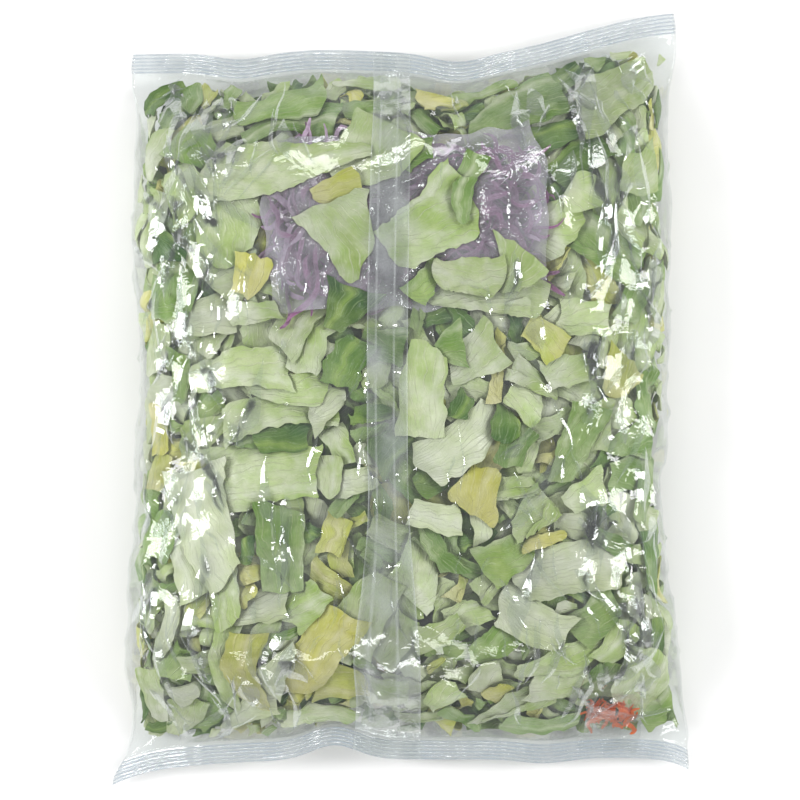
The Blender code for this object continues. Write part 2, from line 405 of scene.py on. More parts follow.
def make_leaf(kind, a0, b0, length, width, angle, seed, step=0.0026, curl=1.0, shade=None,
              round_=None, taper=None, rib_at=None, fold=None, lift=0.0, bend=None, test=False):
    """Drapes one cut piece of leaf under what is already there.  Sizes in metres, angle in degrees from +B towards +A."""
    r = np.random.default_rng(seed)
    k = KINDS[kind]
    n = int(np.clip(round(width / step), 5, 26)) + 1
    m = int(np.clip(round(length / step), 6, 30)) + 1
    s, t = np.meshgrid(np.linspace(-1, 1, n), np.linspace(-1, 1, m), indexing="ij")
    rnd = r.choice([0.0, 0.12, 0.3, 0.7], p=[0.3, 0.3, 0.25, 0.15]) if round_ is None else round_
    xs = s * np.sqrt(1 - rnd * t * t / 2)
    ys = t * np.sqrt(1 - rnd * s * s / 2)
    tp = (r.choice([-1, 1]) * r.choice([0.12, 0.3, 0.58], p=[0.45, 0.35, 0.2])) if taper is None else taper
    xs = xs * (1 + tp * ys)
    ys = ys * (1 + r.uniform(-0.2, 0.2) * xs) + r.uniform(-0.15, 0.15) * xs
    x, y = xs * width / 2, ys * length / 2
    bd = r.uniform(-0.11, 0.11) if bend is None else bend
    x = x + bd * length * (ys * ys - 0.3)
    x = x + 0.045 * width * waves(x, y, 0.6 * length, seed + 1, 4) + 0.0008 * waves(x, y, 0.0095, seed + 5, 4)
    y = y + 0.045 * length * waves(x, y, 0.6 * length, seed + 2, 4) + 0.0008 * waves(x, y, 0.0095, seed + 6, 4)
    # a fold along the leaf: the part past it lies back over the rest
    top_flap = np.zeros_like(x)
    if fold is None and kind in ("iceberg", "green", "romaine", "heart") and r.uniform() < 0.22:
        fold = r.uniform(0.25, 0.7)
    if fold is not None:
        f = fold * width / 2
        over = np.maximum(0.0, x - f)
        x = np.where(x > f, f - 0.8 * over, x)
        top_flap = ease(0.0, 0.0016, over)
    # extra depth from curl, ruffles and blisters
    al = r.uniform(0, math.pi)
    q, p = x * math.cos(al) + y * math.sin(al), -x * math.sin(al) + y * math.cos(al)
    big = max(length, width)
    sign = 1.0 if r.uniform() < 0.6 else -1.0
    e = sign * curl * r.uniform(0.3, 1.3) * 0.0034 * (2 * q / big) ** 2
    e = e + curl * r.uniform(-0.8, 0.8) * 0.0016 * (2 * p / big) ** 2
    e = e + curl * 0.0016 * waves(x, y, 0.024, seed + 7)
    edge = ease(0.55, 1.0, np.abs(s))
    e = e + curl * k["crinkle"] * (0.0011 * edge * np.sin(y * 2 * math.pi / r.uniform(0.009, 0.014) + r.uniform(0, 6)) + 0.00095 * waves(x, y, 0.0095, seed + 8))
    if fold is not None:
        e = e + 0.0016 * (1 - top_flap)
    e = e - e.min() + lift
    # rib, colours and the veins' own coordinates
    if rib_at is None:
        rib_at = r.uniform(-1.2, 1.2) if kind != "rib" else r.uniform(-0.3, 0.3)
    xr = rib_at * width / 2
    wr = width * (0.38 if kind == "rib" else 0.11) * (1.15 - 0.45 * (ys * 0.5 + 0.5))
    rib = np.exp(-((xs * width / 2 - xr) / wr) ** 2)
    th = k["th"] + (k["rib_th"] - k["th"]) * rib
    c0, c1, mixing = k["blade"]
    tone = np.clip(mixing + r.uniform(-0.35, 0.35) + (0 if shade is None else shade), 0, 1)
    up = 0.5 + 0.5 * ys
    blade = c0 * (1 - tone) + c1 * tone
    out = np.clip(0.55 * (np.abs(s) ** 2.2) + 0.45 * up ** 2 + 0.22 * waves(x, y, 0.020, seed + 9), 0, 1)
    colour = blade + (k["edge"] - blade) * (out * r.uniform(0.45, 1.0))[..., None]
    white = ease(0.12, 0.88, 1 - up + 0.30 * waves(x, y, 0.026, seed + 11)) * r.uniform(0.15, 0.92)
    white = np.maximum(white, r.uniform(0.2, 0.6) * ease(0.05, 0.75, waves(x, y, 0.017, seed + 12)))
    white = white * (0.5 if kind in ("green", "romaine") else 1.0)
    colour = colour + (k["rib"] - colour) * np.maximum(rib * r.uniform(0.6, 0.95), white)[..., None]
    colour = colour * (1 + r.uniform(-0.16, 0.08)) * (1 + 0.05 * waves(x, y, 0.012, seed + 10))[..., None]
    y0 = length * r.uniform(0.6, 1.5)
    fan = np.arctan2(xs * width / 2 - xr, ys * length / 2 + y0)
    lc = np.stack([fan * y0 / (0.0040 if kind != "rib" else 0.0026), (ys * length / 2 + y0) / 0.010, np.full_like(x, seed % 97)], -1)
    # lay it down
    c, sn = math.cos(math.radians(angle)), math.sin(math.radians(angle))
    a, b = a0 + x * c + y * sn, b0 - x * sn + y * c
    for _ in range(16):
        b = b + max(0.0, B_IN - b.min()) - max(0.0, b.max() - (LEN_B - B_IN))
        tight = cell(ROOM, a, b) < 0.0022
        if tight.mean() < 0.03:
            break
        middle = 0.5 * HALF_A if a.mean() < HALF_A else 1.5 * HALF_A
        a = a + 0.003 * np.sign(middle - a.mean())
        b = b + 0.003 * np.sign(0.5 * LEN_B - b.mean())
    b = np.clip(b, B_IN, LEN_B - B_IN)
    room = cell(ROOM, a, b)
    if test and np.mean(room < 0.0020) > 0.04:
        return False
    top0 = ceiling(a, b) + 0.00022
    full = np.mean(top0 > room - 0.0010)
    if full > (0.12 if test else 0.5) or (test and np.median(top0) > 0.0215):
        return False
    least = top0 + np.minimum(e, 0.5 * room)
    top = relax(least, top0, 5)
    top = np.minimum(top, room - 0.0006)
    top = np.maximum(top, 0.0003)
    bottom = np.minimum(top + th, np.maximum(room, top + 0.0003))
    stamp(a, b, top, bottom)
    thick = (bottom - top) * top_flap
    pieces_for(kind).add(a, b, top + thick, bottom - thick, colour, lc)
    return True


# ------------------------------------------------------------------ camera
CENTRE = 0.5 * (CAD_LO + CAD_HI)
CAM_Z = 1.62
cam_data = bpy.data.cameras.new("camera")
cam_data.sensor_width = 36.0
cam_data.lens = 36.0 * (CAM_Z - 0.03) / 0.4844
cam_data.clip_start, cam_data.clip_end = 0.05, 30.0
cam = bpy.data.objects.new("camera", cam_data)
cam.location = (CENTRE.x, CENTRE.y, CAM_Z)
bpy.context.scene.collection.objects.link(cam)
bpy.context.scene.camera = cam

TOP_XYZ = SKIN[:COLS // 2]
SEEN_X = (TOP_XYZ[..., 0] - CENTRE.x) * (CAM_Z - 0.03) / (CAM_Z - TOP_XYZ[..., 2])
SEEN_Y = (TOP_XYZ[..., 1] - CENTRE.y) * (CAM_Z - 0.03) / (CAM_Z - TOP_XYZ[..., 2])


def seen(x_mm, y_mm):
    """The place (A, B) on the shown side that lies at (x, y) as looked down on from the middle."""
    d = (SEEN_X - x_mm * MM) ** 2 + (SEEN_Y - y_mm * MM) ** 2
    i, j = np.unravel_index(np.argmin(d), d.shape)
    return i * GIRTH / COLS, j * LEN_B / (ROWS - 1)


# ------------------------------------------------------------------ node helpers
class Nodes:
    def __init__(self, name):
        self.mat = bpy.data.materials.new(name)
        self.mat.use_nodes = True
        self.tree = self.mat.node_tree
        self.tree.nodes.clear()
        self.out = self.tree.nodes.new("ShaderNodeOutputMaterial")

    def node(self, kind, inputs=None, **props):
        n = self.tree.nodes.new(kind)
        for key, value in props.items():
            setattr(n, key, value)
        for key, value in (inputs or {}).items():
            self.set(n, key, value)
        return n

    def set(self, n, key, value):
        socket = n.inputs[key]
        if isinstance(value, bpy.types.NodeSocket):
            self.tree.links.new(value, socket)
        else:
            socket.default_value = value

    def math(self, op, a, b=0.0, c=0.0, clamp=False):
        n = self.node("ShaderNodeMath", operation=op, use_clamp=clamp)
        for i, v in enumerate((a, b, c)):
            if i < len(n.inputs):
                self.set(n, i, v)
        return n.outputs[0]

    def mix(self, fac, a, b, blend="MIX"):
        n = self.node("ShaderNodeMix", data_type="RGBA", blend_type=blend)
        self.set(n, 0, fac)
        self.set(n, 6, a)
        self.set(n, 7, b)
        return n.outputs[2]

    def ramp(self, fac, lo_, hi_, a=0.0, b=1.0, smooth=True):
        n = self.node("ShaderNodeMapRange", interpolation_type="SMOOTHSTEP" if smooth else "LINEAR")
        for key, v in (("Value", fac), ("From Min", lo_), ("From Max", hi_), ("To Min", a), ("To Max", b)):
            self.set(n, key, v)
        return n.outputs[0]

    def noise(self, vec, scale, detail=2.0, rough=0.5, distortion=0.0):
        n = self.node("ShaderNodeTexNoise", {"Scale": scale, "Detail": detail, "Roughness": rough, "Distortion": distortion})
        self.set(n, "Vector", vec)
        return n

    def attr(self, name):
        return self.node("ShaderNodeAttribute", attribute_name=name)

    def coords(self):
        return self.node("ShaderNodeTexCoord").outputs["Object"]

    def finish(self, shader):
        self.tree.links.new(shader, self.out.inputs["Surface"])
        return self.mat


def rgba(c):
    return (float(c[0]), float(c[1]), float(c[2]), 1.0)


# ------------------------------------------------------------------ materials
def leaf_material(name, vein_gain, thin_gain, rough, vein_colour=(0.78, 0.80, 0.60), blister=1.0, deepen=(0.60, 0.76, 0.42)):
    """Blade colour from the leaf, paler veins fanning from its base, finer ones between them and a blistered surface."""
    g = Nodes(name)
    tint, lc, obj = g.attr("tint").outputs["Color"], g.attr("lc").outputs["Vector"], g.coords()
    warp = g.noise(lc, 0.9, 1.0, 0.5).outputs["Fac"]
    split = g.node("ShaderNodeSeparateXYZ", {"Vector": lc})
    v = g.math("MULTIPLY_ADD", warp, 0.9, split.outputs["X"])
    near = g.math("ABSOLUTE", g.math("SUBTRACT", g.math("FRACT", v), 0.5))
    vein = g.math("MULTIPLY", g.ramp(near, 0.38, 0.5), g.ramp(warp, 0.35, 0.60))
    thin = g.math("ABSOLUTE", g.math("SUBTRACT", g.math("FRACT", g.math("MULTIPLY", v, 2.7)), 0.5))
    thin = g.math("MULTIPLY", g.ramp(thin, 0.26, 0.5), g.ramp(warp, 0.62, 0.40, 0.3, 1.0))
    blotch = g.noise(obj, 95.0, 3.0, 0.62).outputs["Fac"]
    dark = g.mix(1.0, tint, rgba(deepen), "MULTIPLY")
    base = g.mix(g.ramp(blotch, 0.34, 0.68, 0.0, 0.70), tint, dark)
    base = g.mix(g.ramp(blotch, 0.46, 0.30, 0.0, 0.35), base, g.mix(0.4, base, rgba(vein_colour)))
    base = g.mix(g.math("MULTIPLY", vein, vein_gain), base, rgba(vein_colour))
    base = g.mix(g.math("MULTIPLY", thin, thin_gain), base, g.mix(0.7, base, rgba(vein_colour)))
    height = g.math("MULTIPLY_ADD", vein, 0.7, g.math("MULTIPLY", blotch, 2.2 * blister))
    height = g.math("MULTIPLY_ADD", thin, 0.22, height)
    bump_ = g.node("ShaderNodeBump", {"Strength": 0.6, "Distance": 0.0011, "Height": height})
    wet = g.ramp(blotch, 0.35, 0.7, rough - 0.10, rough + 0.12)
    p = g.node("ShaderNodeBsdfPrincipled", {"Base Color": base, "Roughness": wet, "Normal": bump_.outputs[0],
                                            "Specular IOR Level": 0.42})
    return g.finish(p.outputs[0])


def shred_material(name, dark, light, rough=0.38):
    g = Nodes(name)
    tint, obj = g.attr("tint").outputs["Color"], g.coords()
    lc = g.attr("lc").outputs["Vector"]
    streak = g.noise(lc, 2.0, 3.0, 0.6).outputs["Fac"]
    blotch = g.noise(obj, 160.0, 2.0).outputs["Fac"]
    base = g.mix(g.ramp(streak, 0.35, 0.7, 0.0, 0.55), tint, rgba(light))
    base = g.mix(g.ramp(blotch, 0.45, 0.75, 0.0, 0.5), base, rgba(dark))
    bump_ = g.node("ShaderNodeBump", {"Strength": 0.5, "Distance": 0.0006, "Height": streak})
    p = g.node("ShaderNodeBsdfPrincipled", {"Base Color": base, "Roughness": g.ramp(blotch, 0.3, 0.7, rough - 0.08, rough + 0.12),
                                            "Normal": bump_.outputs[0]})
    return g.finish(p.outputs[0])


def film_material(name, haze_lo, haze_hi, milk, rough=0.06, wrinkle=0.35, ior=1.46, seal_haze=0.0, seal_milk=None):
    """Clear film: milky where it stands off what is under it, clear where it touches, with a hard shine."""
    g = Nodes(name)
    obj = g.coords()
    gap = g.attr("gap").outputs["Fac"]
    cloud = g.noise(obj, 60.0, 3.0, 0.62, 0.5).outputs["Fac"]
    haze = g.ramp(gap, 0.0, 1.0, haze_lo, haze_hi, smooth=False)
    if seal_haze:
        haze = g.math("ADD", haze, g.ramp(gap, 1.0, 5.0, 0.0, seal_haze, smooth=False))
    haze = g.math("MULTIPLY", haze, g.ramp(cloud, 0.28, 0.72, 0.72, 1.3), clamp=True)
    ridge = g.ramp(g.math("ABSOLUTE", g.math("SUBTRACT", cloud, 0.5)), 0.0, 0.12, smooth=False)
    bump_ = g.node("ShaderNodeBump", {"Strength": wrinkle, "Distance": 0.0011, "Height": ridge})
    clear = g.node("ShaderNodeBsdfTransparent", {"Color": (0.968, 0.978, 0.976, 1.0)})
    dull = g.node("ShaderNodeBsdfDiffuse", {"Color": rgba(milk), "Normal": bump_.outputs[0]})
    if seal_milk is not None:
        g.set(dull, "Color", g.mix(g.ramp(gap, 0.8, 2.2), rgba(milk), rgba(seal_milk)))
    body = g.node("ShaderNodeMixShader", {0: haze, 1: clear.outputs[0], 2: dull.outputs[0]})
    shine = g.node("ShaderNodeBsdfGlossy", {"Color": (1, 1, 1, 1), "Roughness": rough, "Normal": bump_.outputs[0]})
    fres = g.node("ShaderNodeFresnel", {"IOR": ior, "Normal": bump_.outputs[0]})
    share = g.math("MINIMUM", fres.outputs[0], 0.34)
    out = g.node("ShaderNodeMixShader", {0: share, 1: body.outputs[0], 2: shine.outputs[0]})
    return g.finish(out.outputs[0])


MATS = {
    "leaves_rib": leaf_material("leaf_rib_white", 0.26, 0.14, 0.36, vein_colour=(0.78, 0.80, 0.66), blister=0.5, deepen=(0.84, 0.90, 0.72)),
    "leaves_iceberg": leaf_material("leaf_iceberg_pale", 0.48, 0.22, 0.42, vein_colour=(0.74, 0.77, 0.54), deepen=(0.74, 0.86, 0.52)),
    "leaves_green": leaf_material("leaf_green", 0.48, 0.22, 0.42, vein_colour=(0.56, 0.66, 0.34)),
    "leaves_romaine": leaf_material("leaf_romaine_dark", 0.46, 0.20, 0.40, vein_colour=(0.36, 0.50, 0.22), blister=1.3),
    "leaves_heart": leaf_material("leaf_heart_yellow", 0.42, 0.22, 0.42, vein_colour=(0.76, 0.72, 0.36), deepen=(0.86, 0.86, 0.52)),
}
MAT_CABBAGE = shred_material("red_cabbage_shred", tuple(srgb(78, 30, 78)), tuple(srgb(196, 150, 190)))
MAT_CARROT = shred_material("carrot_shred", tuple(srgb(210, 84, 20)), tuple(srgb(244, 140, 52)))
MAT_FILM = film_material("film_clear", 0.010, 0.065, (0.68, 0.73, 0.72), rough=0.022, wrinkle=0.08,
                         seal_haze=0.46, seal_milk=(0.41, 0.475, 0.535))
MAT_SEAM = film_material("film_seam_double", 0.02, 0.17, (0.76, 0.80, 0.80), rough=0.08, wrinkle=0.15)
MAT_POUCH = film_material("film_pouch", 0.07, 0.25, (0.84, 0.79, 0.90), rough=0.05, wrinkle=0.40)
MAT_POUCH_SMALL = film_material("film_pouch_small", 0.01, 0.03, (0.84, 0.80, 0.76), rough=0.05, wrinkle=0.25)


# ------------------------------------------------------------------ contents
def shred(sheets, a0, b0, length, width, angle, seed, tint, thick=0.0011, twist=1.0, least=0.0035, wavy=1.0):
    """One long narrow cut strip, bent in the bag's surface and draped like a leaf."""
    r = np.random.default_rng(seed)
    m = int(np.clip(round(length / 0.0030), 6, 20)) + 1
    t = np.linspace(-1, 1, m)
    k = twist * r.uniform(-1.6, 1.6)
    k2 = twist * r.uniform(-1.8, 1.8)
    head = k * t + k2 * t * t + 0.5 * np.sin(t * r.uniform(2, 5) + r.uniform(0, 6))
    step = length / (m - 1)
    cx = np.cumsum(np.sin(head)) * step
    cy = np.cumsum(np.cos(head)) * step
    cx, cy = cx - cx.mean(), cy - cy.mean()
    w = 0.5 * width * (1 - 0.65 * np.abs(t) ** 5) * (1 + 0.25 * np.sin(t * 4 + seed))
    nx, ny = np.cos(head), -np.sin(head)
    s = np.array([-1.0, 0.0, 1.0])[:, None]
    x, y = cx + s * w * nx, cy + s * w * ny
    e = 0.0011 * (1 + np.sin(t * r.uniform(2, 6) + r.uniform(0, 6))) + 0 * s
    e = e + 0.0007 * s * np.sin(t * r.uniform(2, 5) + r.uniform(0, 6)) + 0.00045 * np.abs(s)
    e = (e - e.min()) * wavy
    c, sn = math.cos(math.radians(angle)), math.sin(math.radians(angle))
    a, b = a0 + x * c + y * sn, b0 - x * sn + y * c
    room = cell(ROOM, a, b)
    if np.min(room) < least:
        return False
    top0 = ceiling(a, b, 0.0010) + 0.00015
    top = relax(top0 + e, top0, 3)
    top = np.maximum(np.minimum(top, room - 0.0008), 0.0003)
    if np.median(top0) > np.median(room) - min(0.0012, least):
        return False
    bottom = top + thick * (1.0 - 0.55 * np.abs(s))
    stamp(a, b, top, bottom)
    rgb = np.ones(x.shape + (3,)) * tint * (1 + 0.18 * np.sin(t * 3 + seed))[None, :, None]
    edge_light = (np.abs(s) ** 2 * 0.25)[..., None]
    rgb = rgb * (1 - edge_light) + LILAC * edge_light if sheets.name.startswith("cabbage") else rgb
    lc = np.stack([s * 1.0 + 0 * x, (t * length / 0.010)[None, :] + 0 * x, np.full_like(x, seed % 89)], -1)
    sheets.add(a, b, top, bottom, rgb, lc)
    return True


def pouch_sheet(name, a0, b0, width, length, angle, seed, material, slot, sag=0.0016):
    """The shown face of a small clear inner pouch, crumpled and draped under the leaves on it."""
    n, m = int(width / 0.0024), int(length / 0.0024)
    s, t = np.meshgrid(np.linspace(-1, 1, n), np.linspace(-1, 1, m), indexing="ij")
    x = s * width / 2 * (1 - 0.035 * t * t) + 0.0022 * waves(t * length, s * 0.02, 0.05, seed)
    y = t * length / 2 * (1 - 0.035 * s * s) + 0.0022 * waves(s * width, t * 0.02, 0.05, seed + 1)
    c, sn = math.cos(math.radians(angle)), math.sin(math.radians(angle))
    a, b = a0 + x * c + y * sn, b0 - x * sn + y * c
    room = cell(ROOM, a, b)
    top0 = ceiling(a, b, 0.0010) + 0.0002
    fold = 0.0007 * np.abs(waves(x, y, 0.026, seed + 2)) + 0.0004 * np.abs(waves(x, y, 0.011, seed + 3))
    top = relax(top0 + fold + sag * ease(0.75, 1.0, np.maximum(np.abs(s), np.abs(t))), top0, 12)
    top = np.maximum(np.minimum(top, 0.55 * room), 0.0002)
    sheet = Sheets(name)
    stamp(a, b, top, top + 0.0001)
    border = ease(0.86, 0.93, np.maximum(np.abs(s), np.abs(t)))
    sheet.add(a, b, top, top + 0.00012, np.ones(x.shape + (3,)), np.stack([s, t, border], -1))
    gap = np.clip(0.35 + 0.5 * border + 0.25 * waves(x, y, 0.03, seed + 4), 0, 1)
    obj = sheet.build(material, slot)
    add_float(obj.data, "gap", np.concatenate([gap.ravel()] * 2))
    return obj


# ------------------------------------------------------------------ leaves that show, from the top left down
# x, y of the middle as looked down on, length, width (mm), angle of the length clockwise from up, kind, shade
SHOWN = [
    (-71, 197, 59, 24.2, 80, "green", -0.3), (-67, 173, 54, 17.0, 80, "green", 0.2),
    (-70, 147, 90, 26.6, 83, "iceberg", -0.2), (-36, 97, 44, 29.1, 165, "iceberg", 0.45),
    (-39, 129, 27, 15.7, 70, "heart", 0.1), (-22, 155, 46, 37.5, 45, "iceberg", -0.05),
    (-129, 158, 30, 24.2, 120, "green", 0.0), (-133, 129, 31, 25.4, 150, "iceberg", -0.1),
    (-107, 109, 51, 38.8, 160, "iceberg", 0.05), (-132, 195, 25, 12.1, 10, "green", -0.1),
    (-120, 190, 17, 12.1, 30, "heart", 0.0), (-116, 181, 17, 5.4, 25, "rib", 0.0),
    (-107, 170, 24, 14.5, 60, "rib", -0.1), (-151, 200, 38, 10.9, 50, "romaine", 0.0),
    (-118, 204, 22, 12.1, 80, "romaine", 0.1), (-153, 152, 34, 13.3, 10, "iceberg", -0.2),
    (-142, 91, 22, 14.5, 110, "romaine", 0.3), (-105, 81, 36, 26.6, 60, "iceberg", -0.2),
    (-92, 75, 24, 17.0, 20, "heart", -0.2), (-132, 72, 23, 13.3, 30, "green", 0.0),
    (-145, 60, 30, 20.6, 100, "green", -0.1), (-21, 198, 41, 9.7, 85, "iceberg", 0.4),
    (-18, 183, 36, 10.9, 85, "green", 0.1), (22, 186, 23, 15.7, 80, "heart", -0.3),
    (33, 183, 15, 7.3, 60, "heart", 0.4), (39, 198, 73, 9.7, 82, "green", -0.3),
    (70, 183, 63, 30.3, 70, "green", 0.35), (102, 202, 23, 18.2, 70, "romaine", 0.2),
    (82, 204, 22, 7.3, 75, "romaine", 0.1), (131, 193, 52, 32.7, 76, "iceberg", 0.15),
    (144, 203, 19, 7.3, 40, "heart", -0.1), (130, 170, 18, 6.7, 165, "rib", 0.1),
    (97, 166, 44, 15.7, 80, "romaine", 0.1), (115, 126, 24, 18.2, 100, "iceberg", -0.2),
    (96, 106, 34, 24.2, 60, "iceberg", 0.1), (93, 83, 25, 20.6, 30, "heart", 0.1),
    (125, 87, 45, 31.5, 125, "green", -0.15), (150, 140, 30, 19.4, 80, "iceberg", 0.0),
    (154, 120, 23, 20.6, 20, "green", 0.0), (164, 176, 17, 8.5, 160, "romaine", 0.0),
    (39, 123, 28, 10.9, 5, "green", 0.5), (19, 107, 57, 37.5, 50, "iceberg", 0.3),
    (45, 144, 17, 13.3, 30, "green", 0.1), (10, 153, 22, 15.7, 60, "green", 0.1),
    (42, 74, 41, 25.4, 100, "iceberg", -0.2), (16, 74, 28, 12.1, 30, "green", -0.1),
    (72, 78, 25, 20.6, 20, "iceberg", -0.1), (-117, 51, 30, 20.6, 80, "rib", 0.0),
    (-90, 52, 29, 14.5, 80, "iceberg", 0.2), (-34, 55, 28, 20.6, 30, "romaine", 0.1),
    (-63, 47, 41, 19.4, 35, "iceberg", -0.1), (-31, 24, 31, 20.6, 30, "romaine", 0.0),
    (-56, 35, 36, 20.6, 20, "iceberg", 0.15), (-117, 35, 19, 12.1, 40, "iceberg", 0.0),
    (-98, 19, 62, 20.6, 85, "iceberg", -0.3), (-73, 9, 53, 18.2, 96, "iceberg", 0.0),
    (-46, -2, 24, 18.2, 60, "rib", 0.0), (-76, -8, 68, 19.4, 79, "iceberg", -0.1),
    (-73, -19, 33, 20.6, 90, "romaine", 0.3), (-91, -22, 19, 14.5, 60, "green", 0.0),
    (-119, -75, 68, 32.7, 162, "rib", 0.0), (-67, -91, 44, 36.3, 0, "green", 0.05),
    (-85, -46, 64, 31.5, 85, "iceberg", -0.05), (-91, -91, 16, 10.9, 0, "romaine", 0.3),
    (-148, -81, 30, 20.6, 30, "green", 0.1), (-86, -70, 17, 13.3, 30, "green", 0.2),
    (-45, -46, 24, 15.7, 0, "iceberg", -0.1), (-27, -49, 23, 14.5, 80, "rib", -0.1),
    (-31, -63, 23, 14.5, 45, "green", 0.2), (-38, -84, 22, 18.2, 20, "heart", -0.2),
    (-136, 12, 28, 13.3, 10, "green", 0.1), (-127, -41, 17, 8.5, 80, "heart", -0.1),
    (-125, -26, 31, 19.4, 20, "iceberg", -0.3), (-118, -7, 25, 14.5, 60, "green", -0.2),
    (15, 4, 50, 25.4, 5, "iceberg", -0.25), (28, 30, 22, 17.0, 60, "green", -0.2),
    (53, 57, 62, 25.4, 98, "iceberg", -0.3), (15, 54, 25, 12.1, 10, "green", -0.1),
    (45, 28, 31, 24.2, 60, "iceberg", -0.3), (62, 20, 38, 10.3, 5, "heart", -0.2),
    (88, 38, 25, 18.2, 130, "heart", 0.5), (105, 18, 33, 17.0, 80, "iceberg", 0.2),
    (81, 9, 31, 20.6, 110, "iceberg", 0.1), (113, 45, 33, 26.6, 90, "iceberg", -0.3),
    (76, 1, 24, 19.4, 120, "iceberg", -0.2), (38, -3, 16, 10.9, 30, "romaine", 0.0),
    (64, -14, 23, 14.5, 170, "romaine", -0.1), (22, -8, 17, 8.5, 0, "heart", 0.5), (37, -25, 50, 25.4, 50, "rib", 0.0),
    (71, -28, 25, 17.0, 20, "green", 0.1), (110, -26, 45, 19.4, 20, "green", 0.15),
    (123, -15, 28, 15.7, 10, "iceberg", 0.4), (137, 14, 25, 21.8, 40, "heart", 0.1),
    (144, -26, 30, 17.0, 80, "green", 0.3), (47, -55, 29, 24.2, 20, "heart", -0.4),
    (71, -58, 27, 19.4, 80, "iceberg", 0.25), (19, -50, 21, 17.0, 60, "romaine", 0.0),
    (23, -71, 30, 15.7, 102, "rib", -0.1), (35, -59, 19, 6.7, 130, "romaine", 0.1),
    (81, -74, 30, 24.2, 60, "iceberg", -0.2), (128, -86, 25, 13.3, 120, "green", 0.1),
    (88, -86, 28, 7.9, 76, "heart", -0.4), (67, -95, 34, 20.6, 60, "green", -0.35),
    (22, -90, 38, 10.9, 150, "green", 0.4), (128, 33, 28, 12.1, 10, "iceberg", -0.2),
    (104, -103, 71, 27.9, 81, "rib", 0.0), (-132, -102, 38, 17.0, 155, "rib", 0.0),
    (-108, -114, 44, 17.0, 175, "iceberg", -0.3), (-93, -102, 19, 15.7, 80, "heart", -0.3),
    (-96, -117, 16, 10.9, 40, "heart", -0.1), (-124, -125, 13, 9.7, 40, "heart", 0.5),
    (-145, -142, 38, 10.3, 18, "rib", 0.0), (-120, -134, 27, 12.1, 100, "iceberg", 0.35),
    (-87, -127, 39, 15.7, 66, "rib", -0.1), (-61, -124, 28, 24.2, 55, "iceberg", 0.35),
    (-96, -167, 52, 19.4, 8, "heart", 0.0), (-110, -166, 57, 12.1, 8, "iceberg", 0.2),
    (-124, -167, 25, 19.4, 100, "iceberg", -0.3), (-114, -150, 21, 15.7, 0, "iceberg", -0.1),
    (-138, -163, 22, 15.7, 30, "green", -0.2), (-152, -182, 35, 17.0, 5, "iceberg", 0.1),
    (-132, -181, 21, 12.1, 80, "rib", 0.0), (-132, -195, 28, 24.2, 30, "iceberg", 0.0),
    (-118, -195, 29, 19.4, 40, "green", -0.2), (-76, -169, 40, 15.7, 40, "rib", -0.1),
    (-50, -155, 67, 26.6, 30, "heart", -0.5), (-35, -176, 30, 24.2, 85, "heart", -0.1),
    (-68, -144, 18, 4.8, 80, "green", 0.2), (-68, -150, 12, 9.7, 20, "rib", 0.0),
    (-21, -130, 51, 26.6, 30, "iceberg", -0.3), (-148, -202, 22, 7.3, 100, "romaine", 0.2),
    (-91, -195, 38, 13.3, 55, "rib", -0.1), (-51, -199, 44, 14.5, 100, "iceberg", 0.2),
    (-72, -197, 17, 7.3, 140, "green", 0.4), (-157, -209, 22, 9.1, 85, "heart", 0.1),
    (-145, -118, 22, 14.5, 60, "green", -0.2), (-156, -129, 25, 10.9, 10, "iceberg", -0.3),
    (81, -136, 44, 25.4, 120, "rib", 0.0), (64, -107, 42, 21.8, 45, "iceberg", 0.3),
    (31, -98, 44, 7.9, 120, "green", -0.2), (120, -132, 35, 20.6, 45, "green", -0.15),
    (134, -150, 29, 15.7, 35, "iceberg", 0.2), (146, -176, 47, 35.1, 20, "iceberg", 0.15),
    (159, -191, 34, 23.0, 45, "green", 0.0), (95, -164, 48, 18.2, 76, "iceberg", -0.05),
    (97, -178, 35, 17.0, 76, "iceberg", -0.3), (72, -195, 52, 19.4, 65, "iceberg", -0.25),
    (61, -183, 17, 12.1, 40, "heart", 0.2), (53, -171, 25, 15.7, 15, "rib", 0.0),
    (61, -148, 44, 18.2, 45, "green", -0.2), (71, -145, 21, 6.1, 80, "rib", 0.0),
    (54, -157, 28, 8.5, 40, "green", 0.1), (88, -209, 47, 14.5, 85, "green", 0.1),
    (38, -205, 31, 9.7, 130, "green", 0.2), (11, -101, 38, 20.6, 10, "iceberg", -0.3),
    (39, -114, 16, 10.9, 20, "heart", 0.3), (13, -199, 28, 12.1, 85, "iceberg", -0.2),
    (7, -209, 16, 6.1, 85, "romaine", 0.0), (24, -142, 31, 14.5, 60, "iceberg", 0.2),
    (23, -166, 13, 7.3, 40, "heart", 0.2), (24, -184, 22, 14.5, 50, "iceberg", -0.1),
    (119, -173, 18, 7.9, 0, "green", 0.3), (-6, -146, 36, 21.8, 20, "iceberg", -0.1),
    (-12, -182, 34, 18.2, 80, "iceberg", 0.1), (2, -120, 30, 19.4, 160, "iceberg", 0.0),
    (-5, -28, 28, 18.2, 40, "romaine", 0.0), (-17, -12, 24, 14.5, 80, "romaine", -0.2),
    (-10, 35, 27, 18.2, 100, "green", 0.2), (-5, -85, 30, 20.6, 120, "iceberg", 0.1),
    (112, 151, 38, 19.4, 60, "romaine", 0.1), (106, 136, 31, 14.5, 40, "romaine", 0.1),
    (142, 154, 27, 13.3, 150, "green", 0.3), (-138, 178, 25, 18.2, 30, "romaine", 0.1),
    (-137, 144, 16, 9.7, 100, "romaine", 0.2), (144, 105, 25, 20.6, 120, "iceberg", 0.3),
    (145, 60, 24, 15.7, 30, "green", 0.2), (-151, 115, 27, 12.1, 10, "iceberg", 0.1),
